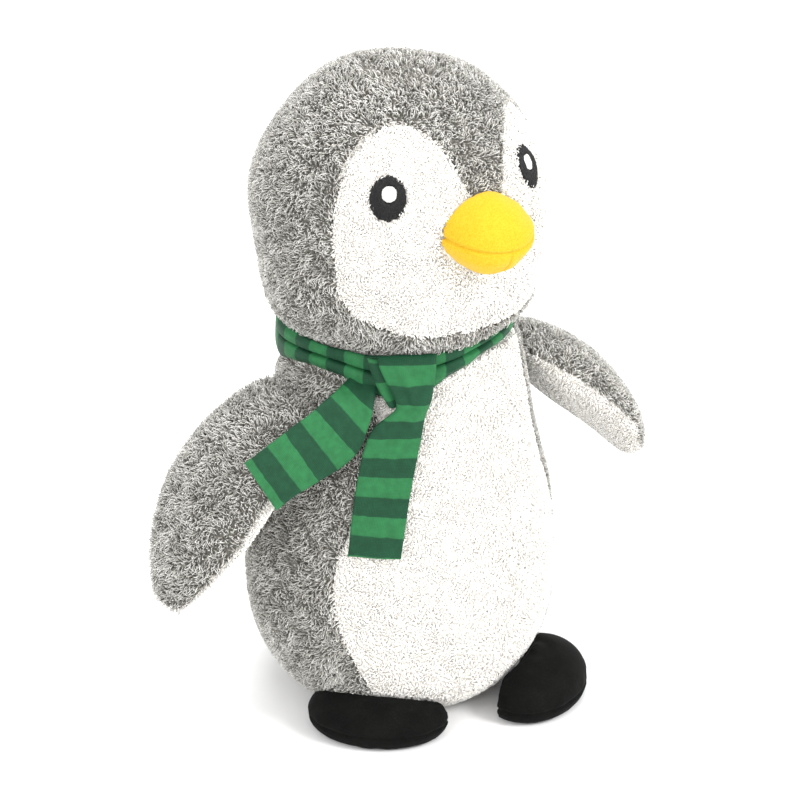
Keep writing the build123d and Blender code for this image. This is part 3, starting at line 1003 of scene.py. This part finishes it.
def wrap_surface(along, across):
    """The scarf's turn round the neck, gathered into two rolls with a tuck between them."""
    turn = 2 * math.pi * along
    ring = np.stack([np.sin(turn), -np.cos(turn)], axis=1)
    ripple = 0.5 * np.sin(7 * turn + 1.0) + 0.35 * np.sin(13 * turn)
    offsets = [-4.6, -2.2, -0.7, -0.5, -1.0, -3.4, -3.2, -0.6, 0.0, -0.4, -2.4, -4.6]
    top = (WRAP_TOP + scarf_lift(ring)) / MM - 0.6
    bottom = (WRAP_BOTTOM + scarf_rise(ring)) / MM + 0.6
    tuck = top - (top - bottom) * (0.36 + 0.10 * np.cos(turn + 0.6) + 0.05 * np.sin(3 * turn))
    heights = [
        top - 3.0, top, top - 1.6, (top + tuck) / 2, tuck + 1.3, tuck + 0.7,
        tuck - 0.5, tuck - 1.3, (tuck + bottom) / 2, bottom + 2.2, bottom, bottom + 2.4,
    ]
    radii = [WRAP_RADIUS / MM - 0.6 + offset + 0 * tuck for offset in offsets]
    share = across * (len(offsets) - 1)
    index = np.minimum(share.astype(int), len(offsets) - 2)
    t = share - index
    table_r, table_z = np.array(radii), np.array(heights)
    columns = np.arange(len(tuck))

    def pick(table, shift):
        return table[np.clip(index + shift, 0, len(offsets) - 1), columns]

    def curve(table):
        return between_knots(*(pick(table, k) for k in (-1, 0, 1, 2)), t)

    beside = np.sin(from_knot(ring))
    bulk = -3.0 * beside * smoothstep(0.4, 1.0, np.abs(beside))
    radius = curve(table_r) + ripple * np.sin(math.pi * across) * 0.5 + bulk
    return np.concatenate([radius[:, None] * ring, curve(table_z)[:, None]], axis=1) * MM


wrap = cloth_grid("scarf_wrap_cloth", wrap_surface, 181, 60, CLOTH, 18 * STRIPES, 33 * MM, True)
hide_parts("scarf_wrap")
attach(wrap, "torso")


def round_neck(azimuth, radius, height):
    """Point at an azimuth in degrees from straight ahead, a radius and a height in millimetres."""
    angle = math.radians(azimuth)
    return (radius * math.sin(angle), -radius * math.cos(angle), height)


# The front tail runs over the wrap at the knot, is pinched under it, and hangs down the belly.
front_left = [
    round_neck(-43, 54.0, 203.5), round_neck(-42.5, 60.0, 207.0), round_neck(-41.0, 63.8, 203.5),
    round_neck(-38.0, 64.8, 196.0), round_neck(-34.5, 64.6, 188.0), round_neck(-34.0, 64.0, 181.0),
    (-45.5, -48.8, 171.5), (-50.5, -47.8, 160.0), (-54.7, -47.7, 142.0), (-58.0, -48.3, 124.0),
    (-60.6, -49.3, 106.5),
]
front_right = [
    round_neck(-17, 54.0, 203.5), round_neck(-16.0, 60.0, 207.0), round_neck(-16.5, 64.0, 203.5),
    round_neck(-17.5, 65.4, 196.0), round_neck(-18.5, 65.6, 188.0), round_neck(-20.5, 65.6, 180.0),
    (-25.0, -60.8, 172.0), (-28.3, -62.0, 160.0), (-33.4, -63.6, 142.0), (-37.6, -65.2, 124.0),
    (-41.0, -66.3, 107.5),
]
FRONT_LENGTH = 118 * MM


def front_surface(along, across):
    middle = strip(front_left, front_right, along, across)
    out = unit(middle * np.array([1, 1, 0]))
    pinch = np.exp(-(((along - 0.5) / 0.13) ** 2))
    belly = np.sin(math.pi * across) * (0.8 + 1.6 * pinch)
    pleat = 0.9 * pinch * np.sin(3 * math.pi * across + 0.6)
    sway = 0.8 * np.sin(5.0 * along + 2 * across) * smoothstep(0.5, 0.9, along)
    slant = np.exp(-(((across - 0.25 - 0.6 * along) / 0.10) ** 2))
    fold = 1.5 * slant * smoothstep(0.14, 0.24, along) * (1 - smoothstep(0.38, 0.50, along))
    return (middle + out * (belly + pleat + sway + fold + 0.6)[:, None]) * MM


FRONT_HEM = STRIPES + 0.8 * MM
front = cloth_grid("scarf_front_strip", front_surface, 110, 28, CLOTH, FRONT_LENGTH, 26 * MM, hem=FRONT_HEM)
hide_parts("scarf_tail_front")
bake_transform(front)

# The tuck: the part of the knot that folds back under the front strip.
tuck_left = [
    round_neck(-47, 59.6, 205.0), round_neck(-45, 61.6, 199.5), round_neck(-42.5, 62.6, 193.0),
    round_neck(-39.5, 62.6, 186.5), round_neck(-36.5, 61.6, 181.0),
]
tuck_right = [
    round_neck(-38, 60.5, 205.5), round_neck(-35, 61.5, 200.5), round_neck(-33, 61.5, 194.0),
    round_neck(-31.5, 61.0, 187.5), round_neck(-30, 60.5, 181.5),
]


def tuck_surface(along, across):
    middle = strip(tuck_left, tuck_right, along, across)
    out = unit(middle * np.array([1, 1, 0]))
    roll = 1.4 * np.sin(math.pi * np.clip(across * 1.6, 0, 1))
    return (middle + out * roll[:, None]) * MM


tuck = cloth_grid("scarf_knot_tuck", tuck_surface, 40, 16, CLOTH, 26 * MM, 13 * MM, hem=0.7 * STRIPES)
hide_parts("scarf_knot")
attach(tuck, "torso")

# The side tail sticks out from under the wrap towards the near flipper.
side_upper = [
    (-47.0, -31.0, 193.0), (-52.5, -33.5, 191.5), (-64.0, -42.0, 191.0), (-77.4, -45.8, 186.5),
    (-89.5, -44.8, 180.3), (-102.7, -43.6, 173.7), (-113.7, -42.7, 168.3),
]
side_lower = [
    (-38.5, -43.0, 190.0), (-44.5, -48.3, 183.0), (-49.2, -48.3, 170.5), (-56.5, -47.5, 158.0),
    (-71.9, -46.3, 150.5), (-84.9, -45.3, 145.5), (-96.9, -44.1, 138.8),
]
SIDE_LENGTH = 74 * MM


def side_surface(along, across):
    middle = strip(side_lower, side_upper, along, across)
    root = 1 - smoothstep(0.0, 0.45, along)
    curl = -2.6 * root * np.maximum(0, 1 - across / 0.35) ** 2
    pleat = 1.0 * root * np.sin(2.6 * math.pi * across)
    sway = 0.9 * np.sin(4.2 * along + 2.4 * across + 0.5)
    out = np.array([-0.085, -0.996, 0.0])
    return (middle + out * (curl + pleat + sway)[:, None]) * MM


side_tail = cloth_grid("scarf_side_strip", side_surface, 70, 30, CLOTH, SIDE_LENGTH, 34 * MM, hem=4.2 * MM)
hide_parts("scarf_tail_side")
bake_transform(side_tail)


# ------------------------------------------------------------------------------- label and hidden pieces
label_low, label_high = (np.array(corner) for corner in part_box("care_label"))


def label_surface(along, across):
    """A blank woven tab that droops a little from its seam."""
    depth = label_low[1] + (label_high[1] - label_low[1]) * along
    height = label_low[2] + (label_high[2] - label_low[2]) * across
    droop = 2.5 * MM * along**2
    sway = (label_low[0] + label_high[0]) / 2 + 1.2 * MM * np.sin(3.0 * along + 1.2 * across)
    return np.stack([sway, depth, height - droop], axis=1)


label_size = label_high - label_low
tab = cloth_grid("label_tab", label_surface, 20, 22, 0.5 * MM, label_size[1], label_size[2])
tab.data.materials.clear()
tab.data.materials.append(looks["label"])
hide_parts("care_label")
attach(tab, "torso")

hidden = {
    "head_stuffing": "stuffing",
    "neck_stuffing": "stuffing",
    "torso_stuffing": "stuffing",
    "pellet_bag": "lining",
    "pellets": "pellets",
}
for node, look in hidden.items():
    materials = nodes[node].data.materials
    for index in range(len(materials)):
        materials[index] = looks[look]


# ------------------------------------------------------------------------------- floor, lights, camera
def area_light(name, place, target, size, power):
    light = bpy.data.lights.new(name, "AREA")
    light.shape = "DISK"
    light.size = size
    light.energy = power
    obj = add_object(name, light)
    obj.location = place
    obj.rotation_euler = (Vector(target) - Vector(place)).to_track_quat("-Z", "Y").to_euler()


floor = mesh_object("floor", [(-6, -6, 0), (6, -6, 0), (6, 6, 0), (-6, 6, 0)], [(0, 1, 2, 3)], False)
floor_look = Look("floor_paper", 0.9, 0.0, 0.1)
floor_look.colour(
    floor_look.ramp(floor_look.noise(3, 2), [(0.3, (0.93, 0.93, 0.93, 1)), (0.7, (0.95, 0.95, 0.95, 1))])
)
floor.data.materials.append(floor_look.material)

world = bpy.data.worlds.new("studio")
bpy.context.scene.world = world
world.use_nodes = True
sky = world.node_tree.nodes["Background"]
sky.inputs["Color"].default_value = (1.0, 1.0, 1.0, 1.0)
sky.inputs["Strength"].default_value = 1.15
area_light("key", (0.9, -1.6, 1.5), (0, 0, 0.16), 0.9, 34)
area_light("fill", (-1.7, -0.9, 1.1), (0, 0, 0.16), 1.2, 16)
area_light("top", (0.1, 0.4, 1.9), (0, 0, 0.1), 1.2, 16)
bpy.context.scene.view_settings.view_transform = "Standard"

camera_data = bpy.data.cameras.new("camera")
camera_data.sensor_width = 36.0
camera_data.lens = 170.55
camera = add_object("camera", camera_data)
bpy.context.scene.camera = camera
yaw, pitch = math.radians(-32.0), math.radians(25.61)     # bearing from straight ahead, height
camera.location = (-0.9009, -1.4417, 0.970)
back = Vector((math.sin(yaw) * math.cos(pitch), -math.cos(yaw) * math.cos(pitch), math.sin(pitch)))
camera.rotation_euler = back.to_track_quat("Z", "Y").to_euler()
